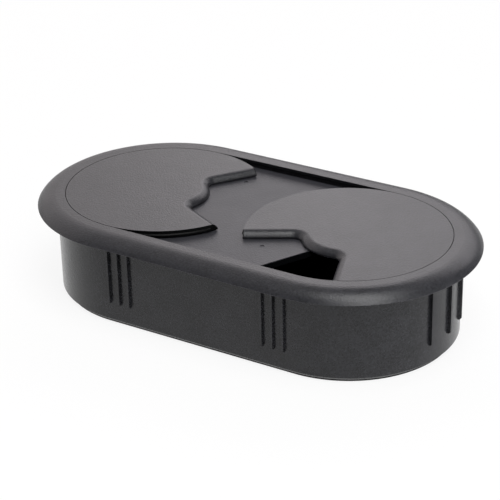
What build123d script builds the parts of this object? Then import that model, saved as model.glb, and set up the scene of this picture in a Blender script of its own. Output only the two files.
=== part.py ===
"""Oval desk grommet with two round, notched covers that turn in its top.

Millimetres, +Z up, +X along the oval, the photographed front towards -Y. The
origin is the middle of the sleeve's bottom edge, so the part stands on z = 0.
"""
import os
from build123d import *

# Oval outline
end_spacing = 65.0
flange_width = 80.0
total_height = 31.8

# Flange that lies on the desk top: its rim, a flat land and a rounded brim
flange_overhang = 6.05
flange_thickness = 3.3
flange_edge = 0.15
land_width = 2.9

# Sleeve that goes down into the cut-out, with a ledge inside near its top
wall_thickness = 2.2
foot_chamfer = 1.7
ledge_width = 1.95
ledge_thickness = 1.0

# Covers, whose lower edge widens to a lip that clicks in under the rim
cover_thickness = 2.1
cover_clearance = 0.2
rim_overhang = 0.45
lip_width = 0.4
lip_depth = 1.0
lip_slope = 0.7
lip_relief = 0.15
lip_chamfer = 0.25
lip_end_angle = 4.5
notch_angle = 80.0
hub_radius = 13.9
notch_corner = 2.9
notch_brim_width = 2.5
notch_brim_drop = 1.6
left_turn = 14.1
right_turn = -110.4

# Bridge plate with a tongue under each cover, and its two moulding marks
plate_thickness = 2.0
plate_gap = 0.3
tongue_half_angle = 63.0
mark_diameter = 1.4
mark_depth = 0.2
right_mark_radius = 25.7
right_mark_angle = 39.6
left_mark_radius = 26.6
left_mark_angle = 49.2

# Pivots: a hollow pin under each cover and a bored boss on each tongue
pin_radius = 4.5
pin_length = 4.6
pin_wall = 1.5
pin_chamfer = 0.5
pin_clearance = 0.1
boss_wall = 3.0
boss_seat_gap = 0.2
boss_height = 5.2

# Ribs that grip the cut-out, in groups of three
rib_height = 0.95
rib_width = 0.8
rib_start = 7.35
rib_nose = 0.6
rib_pitch = 3.6
rib_group_offset = 26.9
rib_group_shift = -0.5
rib_end_angle = 15.5
rib_end_shift = -1.5

# Sizes that follow from the ones above
half_spacing = end_spacing / 2
flange_radius = flange_width / 2
flange_under = total_height - flange_thickness
sleeve_radius = flange_radius - flange_overhang
sleeve_bore = sleeve_radius - wall_thickness
ledge_radius = sleeve_bore - ledge_width
rim_radius = sleeve_bore - rim_overhang
land_radius = rim_radius + land_width
cover_radius = rim_radius - cover_clearance
lip_radius = cover_radius + lip_width
lip_top = total_height - lip_depth
lip_drop = lip_width * lip_slope
groove_radius = rim_radius + lip_width
groove_top = lip_top + lip_relief
cover_under = total_height - cover_thickness
plate_top = cover_under - plate_gap
plate_under = plate_top - plate_thickness
pin_end = cover_under - pin_length
bore_radius = pin_radius + pin_clearance
boss_radius = bore_radius + boss_wall
boss_top = cover_under - boss_seat_gap
boss_under = boss_top - boss_height
open_half_angle = 180 - tongue_half_angle

os.makedirs("parts", exist_ok=True)

# One half of the oval wall: the sleeve, flange, rim and ledge in one section,
# run along the front and turned round the right end
section_plane = Plane(
    origin=(half_spacing, 0, 0), x_dir=(0, -1, 0), z_dir=(-1, 0, 0)
)
with BuildPart() as half_wall:
    with BuildSketch(section_plane) as wall_section:
        with BuildLine():
            outside = Polyline(
                (sleeve_bore, 0),
                (sleeve_radius, 0),
                (sleeve_radius, flange_under),
                (flange_radius, flange_under),
                (flange_radius, flange_under + flange_edge),
            )
            land = Line((rim_radius, total_height), (land_radius, total_height))
            TangentArc(land @ 1, outside @ 1, tangent=land % 1)
            Polyline(
                land @ 0,
                (rim_radius, groove_top),
                (groove_radius, groove_top - lip_drop),
                (groove_radius, plate_top),
                (ledge_radius, plate_top),
                (ledge_radius, plate_top - ledge_thickness),
                (sleeve_bore, plate_top - ledge_thickness - ledge_width),
                outside @ 0,
            )
        make_face()
        foot = wall_section.vertices().sort_by_distance((sleeve_radius, 0))
        chamfer(foot[0], length=foot_chamfer)
    extrude(wall_section.sketch, amount=end_spacing)
    revolve(
        wall_section.sketch,
        axis=Axis((half_spacing, 0, 0), (0, 0, 1)),
        revolution_arc=180,
    )

# The part of each round end that the bridge plate leaves open for cables
with BuildSketch() as cable_way:
    with BuildLine():
        sweep_arc = CenterArc(
            (0, 0), sleeve_radius, -open_half_angle, 2 * open_half_angle
        )
        Line((0, 0), sweep_arc @ 0)
        Line((0, 0), sweep_arc @ 1)
    make_face()

# One grip rib, standing on the sleeve in the radial plane, its foot sloped
with BuildPart() as grip_rib:
    with BuildSketch(Plane.XZ) as rib_side:
        with BuildLine():
            Polyline(
                (sleeve_radius - wall_thickness / 2, rib_start),
                (sleeve_radius + rib_height, rib_start),
                (sleeve_radius + rib_height, flange_under),
                (sleeve_radius - wall_thickness / 2, flange_under),
                close=True,
            )
        make_face()
        nose = rib_side.vertices().sort_by_distance(
            (sleeve_radius + rib_height, rib_start)
        )
        chamfer(nose[0], length=rib_nose)
    extrude(amount=rib_width / 2, both=True)

rib_places = []
for step in (-1, 0, 1):
    for group in (-rib_group_offset, rib_group_offset):
        along = group + step * rib_pitch + rib_group_shift
        rib_places.append(Location((along, 0, 0), (0, 0, -90)))
        rib_places.append(Location((-along, 0, 0), (0, 0, 90)))
    turn = step * rib_end_angle + rib_end_shift
    rib_places.append(Location((half_spacing, 0, 0), (0, 0, turn)))
    rib_places.append(Location((-half_spacing, 0, 0), (0, 0, 180 + turn)))

with BuildPart() as housing:
    with PolarLocations(0, 2):
        add(half_wall.part)
    with BuildSketch(Plane.XY.offset(plate_under)):
        SlotCenterToCenter(end_spacing, 2 * sleeve_bore)
        with PolarLocations(half_spacing, 2):
            add(cable_way.sketch, mode=Mode.SUBTRACT)
    extrude(amount=plate_thickness)
    with BuildSketch(Plane.XY.offset(boss_under)):
        with PolarLocations(half_spacing, 2):
            Circle(boss_radius)
    extrude(amount=boss_height)
    with BuildSketch(Plane.XY.offset(boss_under)):
        with PolarLocations(half_spacing, 2):
            Circle(bore_radius)
    extrude(amount=boss_height, mode=Mode.SUBTRACT)
    with BuildSketch(Plane.XY.offset(plate_top)):
        with Locations(Location((half_spacing, 0, 0), (0, 0, 180 + right_mark_angle))):
            with Locations((right_mark_radius, 0)):
                Circle(mark_diameter / 2)
        with Locations(Location((-half_spacing, 0, 0), (0, 0, left_mark_angle))):
            with Locations((left_mark_radius, 0)):
                Circle(mark_diameter / 2)
    extrude(amount=-mark_depth, mode=Mode.SUBTRACT)
    with Locations(*rib_places):
        add(grip_rib.part)

# One cover, centred on its pivot with the notch towards +X: the disc, lip and
# pin are turned from one section, then the notch is cut and the top rolls off
# round it in a brim like the flange's
with BuildLine() as notch_path:
    hub_arc = CenterArc((0, 0), hub_radius, -notch_angle / 2, notch_angle)
    PolarLine(hub_arc @ 0, flange_radius - hub_radius, -notch_angle / 2)
    PolarLine(hub_arc @ 1, flange_radius - hub_radius, notch_angle / 2)
    corners = notch_path.vertices().sort_by_distance((0, 0))
    fillet(corners[:2], radius=notch_corner)
notch_line = notch_path.wire()
notch_top = notch_line.moved(Location((0, 0, total_height)))
brim_plane = Plane(
    origin=notch_top @ 0,
    x_dir=(notch_top % 0).rotate(Axis.Z, 90),
    z_dir=notch_top % 0,
)

with BuildPart() as cover:
    with BuildSketch(Plane.XZ):
        with BuildLine():
            Polyline(
                (0, total_height),
                (cover_radius, total_height),
                (cover_radius, lip_top),
                (lip_radius, lip_top - lip_drop),
                (lip_radius, cover_under + lip_chamfer),
                (lip_radius - lip_chamfer, cover_under),
                (pin_radius, cover_under),
                (pin_radius, pin_end + pin_chamfer),
                (pin_radius - pin_chamfer, pin_end),
                (pin_radius - pin_wall, pin_end),
                (pin_radius - pin_wall, cover_under),
                (0, cover_under),
                close=True,
            )
        make_face()
    revolve(axis=Axis.Z, revolution_arc=360)
    with BuildSketch(Plane.XY.offset(total_height)):
        with BuildLine():
            add(notch_line)
            Polyline(notch_line @ 1, (flange_width, 0), notch_line @ 0)
        make_face()
    extrude(amount=-cover_thickness, mode=Mode.SUBTRACT)
    with BuildSketch(brim_plane):
        with BuildLine():
            TangentArc(
                (notch_brim_width, 0), (0, -notch_brim_drop), tangent=(-1, 0)
            )
            Polyline(
                (0, -notch_brim_drop),
                (-notch_brim_drop, -notch_brim_drop),
                (-notch_brim_drop, notch_brim_drop),
                (notch_brim_width, notch_brim_drop),
                (notch_brim_width, 0),
            )
        make_face()
    sweep(path=notch_top, mode=Mode.SUBTRACT)
    with BuildSketch(Plane.XY.offset(cover_under)):
        with BuildLine():
            lip_arc = CenterArc(
                (0, 0),
                lip_radius + lip_width,
                -notch_angle / 2 - lip_end_angle,
                notch_angle + 2 * lip_end_angle,
            )
            Line((0, 0), lip_arc @ 0)
            Line((0, 0), lip_arc @ 1)
        make_face()
        Circle(cover_radius, mode=Mode.SUBTRACT)
    extrude(amount=cover_thickness, mode=Mode.SUBTRACT)

with BuildPart() as left_cover:
    with Locations(Location((-half_spacing, 0, 0), (0, 0, left_turn))):
        add(cover.part)

with BuildPart() as right_cover:
    with Locations(Location((half_spacing, 0, 0), (0, 0, right_turn))):
        add(cover.part)

housing.part.label = "housing"
export_step(housing.part, "parts/housing.step")

left_cover.part.label = "left_cover"
export_step(left_cover.part, "parts/left_cover.step")

right_cover.part.label = "right_cover"
export_step(right_cover.part, "parts/right_cover.step")
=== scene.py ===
"""Looks of an oval desk grommet with two turning covers, in metres, +Z up."""
import math

import bpy
import numpy as np
from mathutils import Matrix, Vector

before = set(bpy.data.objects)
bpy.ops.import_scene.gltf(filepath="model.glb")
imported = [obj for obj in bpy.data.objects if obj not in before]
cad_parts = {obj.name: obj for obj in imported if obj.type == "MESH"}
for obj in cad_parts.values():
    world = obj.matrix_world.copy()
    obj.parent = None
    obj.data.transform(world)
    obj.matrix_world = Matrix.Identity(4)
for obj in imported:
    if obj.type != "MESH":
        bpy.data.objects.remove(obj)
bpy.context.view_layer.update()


# Housing: the oval flange, sleeve, bridge plate and grip ribs in one piece.
# It is injection moulded in black plastic in a spark-eroded steel mould, which
# leaves a fine pitted grain, dull on the plate, smoother on the sleeve and core.
pivot_half_spacing = 0.0325
# Distances from the line between the pivots at which one finish meets the next
just_inside_rim, just_inside_sleeve = 0.0312, 0.0322
# Heights above the foot at which they meet
foot_chamfer, just_below_flange = 0.0017, 0.0284
just_below_plate_top, just_below_top = 0.02915, 0.03175
# What each finish adds to the plain roughness and to the tone, and its share of painted
# shade, left dead black; the darker tone below the plate top is painted shade too
plate_dulling, inside_polish, sleeve_polish = 0.10, -0.20, -0.15
top_paleness, plate_paleness, inside_painted_shade_tone = 0.08, 0.24, -0.50
foot_shade, rim_wall_shade = 0.40, 0.60


class Shade:
    """A shader socket. Arithmetic on it adds Math nodes to its tree."""

    def __init__(self, tree, socket=None):
        self.tree = tree
        self.socket = socket

    def make(self, kind, settings=None, inputs=None, output=0):
        """Add a node, set it up, then give its sockets values or links."""
        node = self.tree.nodes.new(kind)
        for name, value in (settings or {}).items():
            setattr(node, name, value)
        for key, value in (inputs or {}).items():
            if isinstance(value, Shade):
                self.tree.links.new(value.socket, node.inputs[key])
            else:
                node.inputs[key].default_value = value
        return Shade(self.tree, node.outputs[output] if node.outputs else None)

    def maths(self, operation, *values):
        settings = {"operation": operation}
        return self.make("ShaderNodeMath", settings, dict(enumerate(values)))

    def below(self, limit):
        return self.maths("LESS_THAN", self, limit)

    def above(self, limit):
        return self.maths("GREATER_THAN", self, limit)

    def mixed(self, first, second):
        """Blend two colours, this socket being the share of the second."""
        return self.make(
            "ShaderNodeMix",
            {"data_type": "RGBA"},
            {0: self, 6: first, 7: second},
            output=2,
        )

    def __add__(self, other):
        return self.maths("ADD", self, other)

    def __radd__(self, other):
        return self.maths("ADD", other, self)

    def __sub__(self, other):
        return self.maths("SUBTRACT", self, other)

    def __rsub__(self, other):
        return self.maths("SUBTRACT", other, self)

    def __mul__(self, other):
        return self.maths("MULTIPLY", self, other)

    def __rmul__(self, other):
        return self.maths("MULTIPLY", other, self)


def new_material(name):
    """A material with an empty node tree, a start for it, its coordinates."""
    material = bpy.data.materials.new(name)
    material.use_nodes = True
    material.node_tree.nodes.clear()
    start = Shade(material.node_tree)
    return material, start, start.make("ShaderNodeTexCoord", output="Object")


def from_spine(start, place):
    """How far a point lies, seen from above, from the line between the pivots."""
    along, across = (
        start.make("ShaderNodeSeparateXYZ", None, {0: place}, output=axis)
        for axis in (0, 1)
    )
    past_end = along.maths(
        "MAXIMUM", along.maths("ABSOLUTE", along) - pivot_half_spacing, 0.0
    )
    return along.maths("SQRT", past_end * past_end + across * across)


def moulded_plastic(start, place, finish, paleness, shade):
    """Pitted black plastic: cloudy tone, handling smears, a little lint.

    The pits are the sum of a fine noise and of rounded cells. The smears of
    handling and the change of finish add to the roughness, and paleness adds to
    the tone. The share of shade is painted shade: that much is left dead black,
    without gloss.
    """
    deepest_black, palest_black = (0.0036, 0.0039, 0.0046, 1.0), (0.088, 0.088, 0.102, 1.0)
    lint_colour, painted_shade_black = (0.40, 0.39, 0.37, 1.0), (0.002, 0.002, 0.002, 1.0)
    tone_depth, plain_roughness = 0.19, 0.29
    lint_size = 0.013
    pits = start.make(
        "ShaderNodeTexNoise",
        None,
        {"Vector": place, "Scale": 1500.0, "Detail": 3.0, "Roughness": 0.65},
    )
    pores = start.make("ShaderNodeTexVoronoi", None, {"Vector": place, "Scale": 1900.0})
    clouds = start.make(
        "ShaderNodeTexNoise",
        None,
        {"Vector": place, "Scale": 160.0, "Detail": 4.0, "Roughness": 0.55},
    )
    smears = start.make(
        "ShaderNodeTexNoise",
        None,
        {"Vector": place, "Scale": 36.0, "Detail": 3.0, "Distortion": 0.8},
    )
    lint = start.make("ShaderNodeTexVoronoi", None, {"Vector": place, "Scale": 75.0})
    speck = lint.below(lint_size)
    tone = clouds * 0.17 + pits * 0.4 + (paleness - tone_depth)
    black = tone.mixed(deepest_black, palest_black)
    height = pits * 0.6 + pores * 0.4 + speck * 1.5
    bump = start.make(
        "ShaderNodeBump", None, {"Strength": 0.72, "Distance": 0.00011, "Height": height}
    )
    plastic = start.make(
        "ShaderNodeBsdfPrincipled",
        None,
        {
            "Base Color": speck.mixed(black, lint_colour),
            "Roughness": smears * 0.05 + pits * 0.08 + (finish + plain_roughness),
            "IOR": 1.41,
            "Normal": bump,
        },
    )
    # Painted shade: the share of shade swaps the plastic for this dead black
    painted_shade_bsdf = start.make("ShaderNodeBsdfDiffuse", None, {"Color": painted_shade_black})
    surface = start.make("ShaderNodeMixShader", None, {0: shade, 1: plastic, 2: painted_shade_bsdf})
    start.make("ShaderNodeOutputMaterial", None, {"Surface": surface})


def dress(node, material):
    """Give a CAD node's slots this material."""
    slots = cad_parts[node].data.materials
    slots.clear()
    slots.append(material)


material, start, place = new_material("grained_black_housing")
reach = from_spine(start, place)
rise = start.make("ShaderNodeSeparateXYZ", None, {0: place}, output=2)
within = reach.below(just_inside_rim)
deep = rise.below(just_below_plate_top)
inside = within * deep
plate = within * (1 - deep)
outer = reach.above(just_inside_sleeve)
sleeve = outer * rise.below(just_below_flange)
# Painted shade on the foot chamfer band: darkened and without gloss by foot_shade
foot = outer * rise.below(foot_chamfer)
# Painted shade on the rim's inner wall and the sleeve's bore, blackened by rim_wall_shade
rim_wall = (1 - within - outer) * rise.below(just_below_top)

finish = plate * plate_dulling + inside * inside_polish + sleeve * sleeve_polish
paleness = (
    top_paleness
    + plate * (plate_paleness - top_paleness)
    # painted shade: below the plate top, inside the rim, the tone is made much darker
    + inside * (inside_painted_shade_tone - top_paleness)
    - sleeve * top_paleness
)
# Painted shade: a share of dead black on the foot band and the rim's inner wall
shade = foot * foot_shade + rim_wall * rim_wall_shade
moulded_plastic(start, place, finish, paleness, shade)
dress("housing", material)


# Covers: two round lids with a wedge cut out, each turning on a pin under it.
# Both come from one mould in the housing's black plastic, so each carries the
# same grain, turned with the cover. Their edge, which clicks in under the rim,
# is painted dark and matt black there: painted shade.
cover_turns = {"left_cover": (-1, 14.1), "right_cover": (1, -110.4)}
just_inside_edge = 0.0309
edge_painted_shade_tone, edge_shade = -0.50, 0.80
plain_finish = 0.0

for name, (side, turn) in cover_turns.items():
    material, start, place = new_material("grained_black_" + name)
    own_place = start.make(
        "ShaderNodeMapping",
        {"vector_type": "TEXTURE"},
        {
            "Vector": place,
            "Location": (side * pivot_half_spacing, 0.0, 0.0),
            "Rotation": (0.0, 0.0, math.radians(turn)),
        },
    )
    along, across, rise = (
        start.make("ShaderNodeSeparateXYZ", None, {0: own_place}, output=axis)
        for axis in range(3)
    )
    reach = along.maths("SQRT", along * along + across * across)
    # Painted shade: the cover's outer edge under the rim is made dark and matt
    edge = reach.above(just_inside_edge) * rise.below(just_below_top)
    paleness = edge * (edge_painted_shade_tone - top_paleness) + top_paleness
    moulded_plastic(start, own_place, plain_finish, paleness, edge * edge_shade)
    dress(name, material)


# Floor: a wide pale sheet of studio paper that the loose grommet stands on.
# It is lit so fully that it shows white right up to the grommet's own shadow,
# and only the patch shut in by the sleeve stays dark: it does not glow and is
# painted dark grey, a painted shade.
floor_radius, floor_sides = 1.6, 96
sleeve_foot_radius = 0.0325
shut_in_painted_shade_grey = (0.05, 0.05, 0.05, 1.0)
paper_grey, fibre_grey = (0.80, 0.80, 0.80, 1.0), (0.84, 0.84, 0.84, 1.0)
seen_glow, mirrored_glow, through_glow = 0.88, 0.96, 0.88

angle = np.linspace(0, 2 * math.pi, floor_sides, endpoint=False)
ring = np.stack(
    [floor_radius * np.cos(angle), floor_radius * np.sin(angle), 0 * angle], axis=1
)
floor_mesh = bpy.data.meshes.new("studio_paper")
floor_mesh.from_pydata(ring.tolist(), [], [list(range(floor_sides))])
floor = bpy.data.objects.new("studio_paper", floor_mesh)
bpy.context.scene.collection.objects.link(floor)

paper, start, place = new_material("studio_paper")
reach = from_spine(start, place)
outside = reach.above(sleeve_foot_radius)
fibres = start.make(
    "ShaderNodeTexNoise", None, {"Vector": place, "Scale": 900.0, "Detail": 3.0}
)
sheet = fibres.mixed(paper_grey, fibre_grey)
matt = start.make(
    # Painted shade: the floor patch inside the sleeve's foot is painted dark grey
    "ShaderNodeBsdfDiffuse", None, {"Color": outside.mixed(shut_in_painted_shade_grey, sheet)}
)
glow = start.make(
    "ShaderNodeEmission", None, {"Color": (1.0, 1.0, 1.0, 1.0), "Strength": 1.0}
)
seen, mirrored, through = (
    start.make("ShaderNodeLightPath", output="Is " + way + " Ray")
    for way in ("Camera", "Glossy", "Transmission")
)
glowing = seen * seen_glow + mirrored * mirrored_glow + through * through_glow
share = outside * glowing
surface = start.make("ShaderNodeMixShader", None, {0: share, 1: matt, 2: glow})
start.make("ShaderNodeOutputMaterial", None, {"Surface": surface})
floor_mesh.materials.append(paper)


# Light: soft panels of stretched cloth round the grommet in a dim room. The
# back and left ones lie mirrored in the flat tops and tint them a little, the
# window-sized one in the rounded brim and the right one in the right end.
def soft_panel(name, azimuth, height, distance, size, power, tint=(1.0, 1.0, 1.0)):
    """A flat lamp at this bearing and height angle, facing the grommet."""
    lamp = bpy.data.lights.new(name, "AREA")
    lamp.shape = "RECTANGLE"
    lamp.size, lamp.size_y = size
    lamp.energy = power
    lamp.color = tint
    panel = bpy.data.objects.new(name, lamp)
    a, e = math.radians(azimuth), math.radians(height)
    away = Vector((math.sin(a) * math.cos(e), -math.cos(a) * math.cos(e), math.sin(e)))
    facing = away.to_track_quat("Z", "Y").to_matrix().to_4x4()
    panel.matrix_world = Matrix.Translation(away * distance) @ facing
    bpy.context.scene.collection.objects.link(panel)


soft_panel("back_panel", 185.0, 32.0, 1.3, (1.25, 0.70), 6.8, (1.0, 0.96, 0.995))
soft_panel("window_panel", 50.0, 62.0, 0.9, (0.45, 0.85), 8.6)
soft_panel("top_panel", 290.0, 70.0, 1.2, (1.0, 1.0), 0.5)
soft_panel("right_panel", 92.0, 3.6, 0.9, (1.30, 0.10), 8.6)
soft_panel("left_panel", 255.0, 32.0, 0.9, (1.70, 0.90), 5.9, (1.0, 0.94, 0.95))

room_level, backdrop_level = 0.03, 1.0
room = bpy.data.worlds.new("studio_room")
room.use_nodes = True
room.node_tree.nodes.clear()
start = Shade(room.node_tree)
dim, backdrop = (
    start.make(
        "ShaderNodeBackground", None, {"Color": (1.0, 1.0, 1.0, 1.0), "Strength": strength}
    )
    for strength in (room_level, backdrop_level)
)
seen = start.make("ShaderNodeLightPath", output="Is Camera Ray")
air = start.make("ShaderNodeMixShader", None, {0: seen, 1: dim, 2: backdrop})
start.make("ShaderNodeOutputWorld", None, {"Surface": air})
bpy.context.scene.world = room
bpy.context.scene.view_settings.view_transform = "Standard"


# Camera: a long lens, held in front of the grommet, to its right and above,
# tipped a little to one side. Its place and angles were fitted to the outlines
# of the flange and sleeve.
eye = Vector((0.250819, -0.405715, 0.258032))
bearing, tilt, roll = math.radians(31.903), math.radians(26.726), math.radians(-1.282)
back = Vector(
    (
        math.sin(bearing) * math.cos(tilt),
        -math.cos(bearing) * math.cos(tilt),
        math.sin(tilt),
    )
)
level = Vector((math.cos(bearing), math.sin(bearing), 0.0))
upright = back.cross(level)
right = math.cos(roll) * level + math.sin(roll) * upright
up = math.cos(roll) * upright - math.sin(roll) * level
lens = bpy.data.cameras.new("camera")
lens.sensor_width = 36.0
lens.lens = 124.75
lens.clip_start, lens.clip_end = 0.01, 20.0
camera = bpy.data.objects.new("camera", lens)
facing = Matrix((right, up, back)).transposed().to_4x4()
camera.matrix_world = Matrix.Translation(eye) @ facing
bpy.context.scene.collection.objects.link(camera)
bpy.context.scene.camera = camera
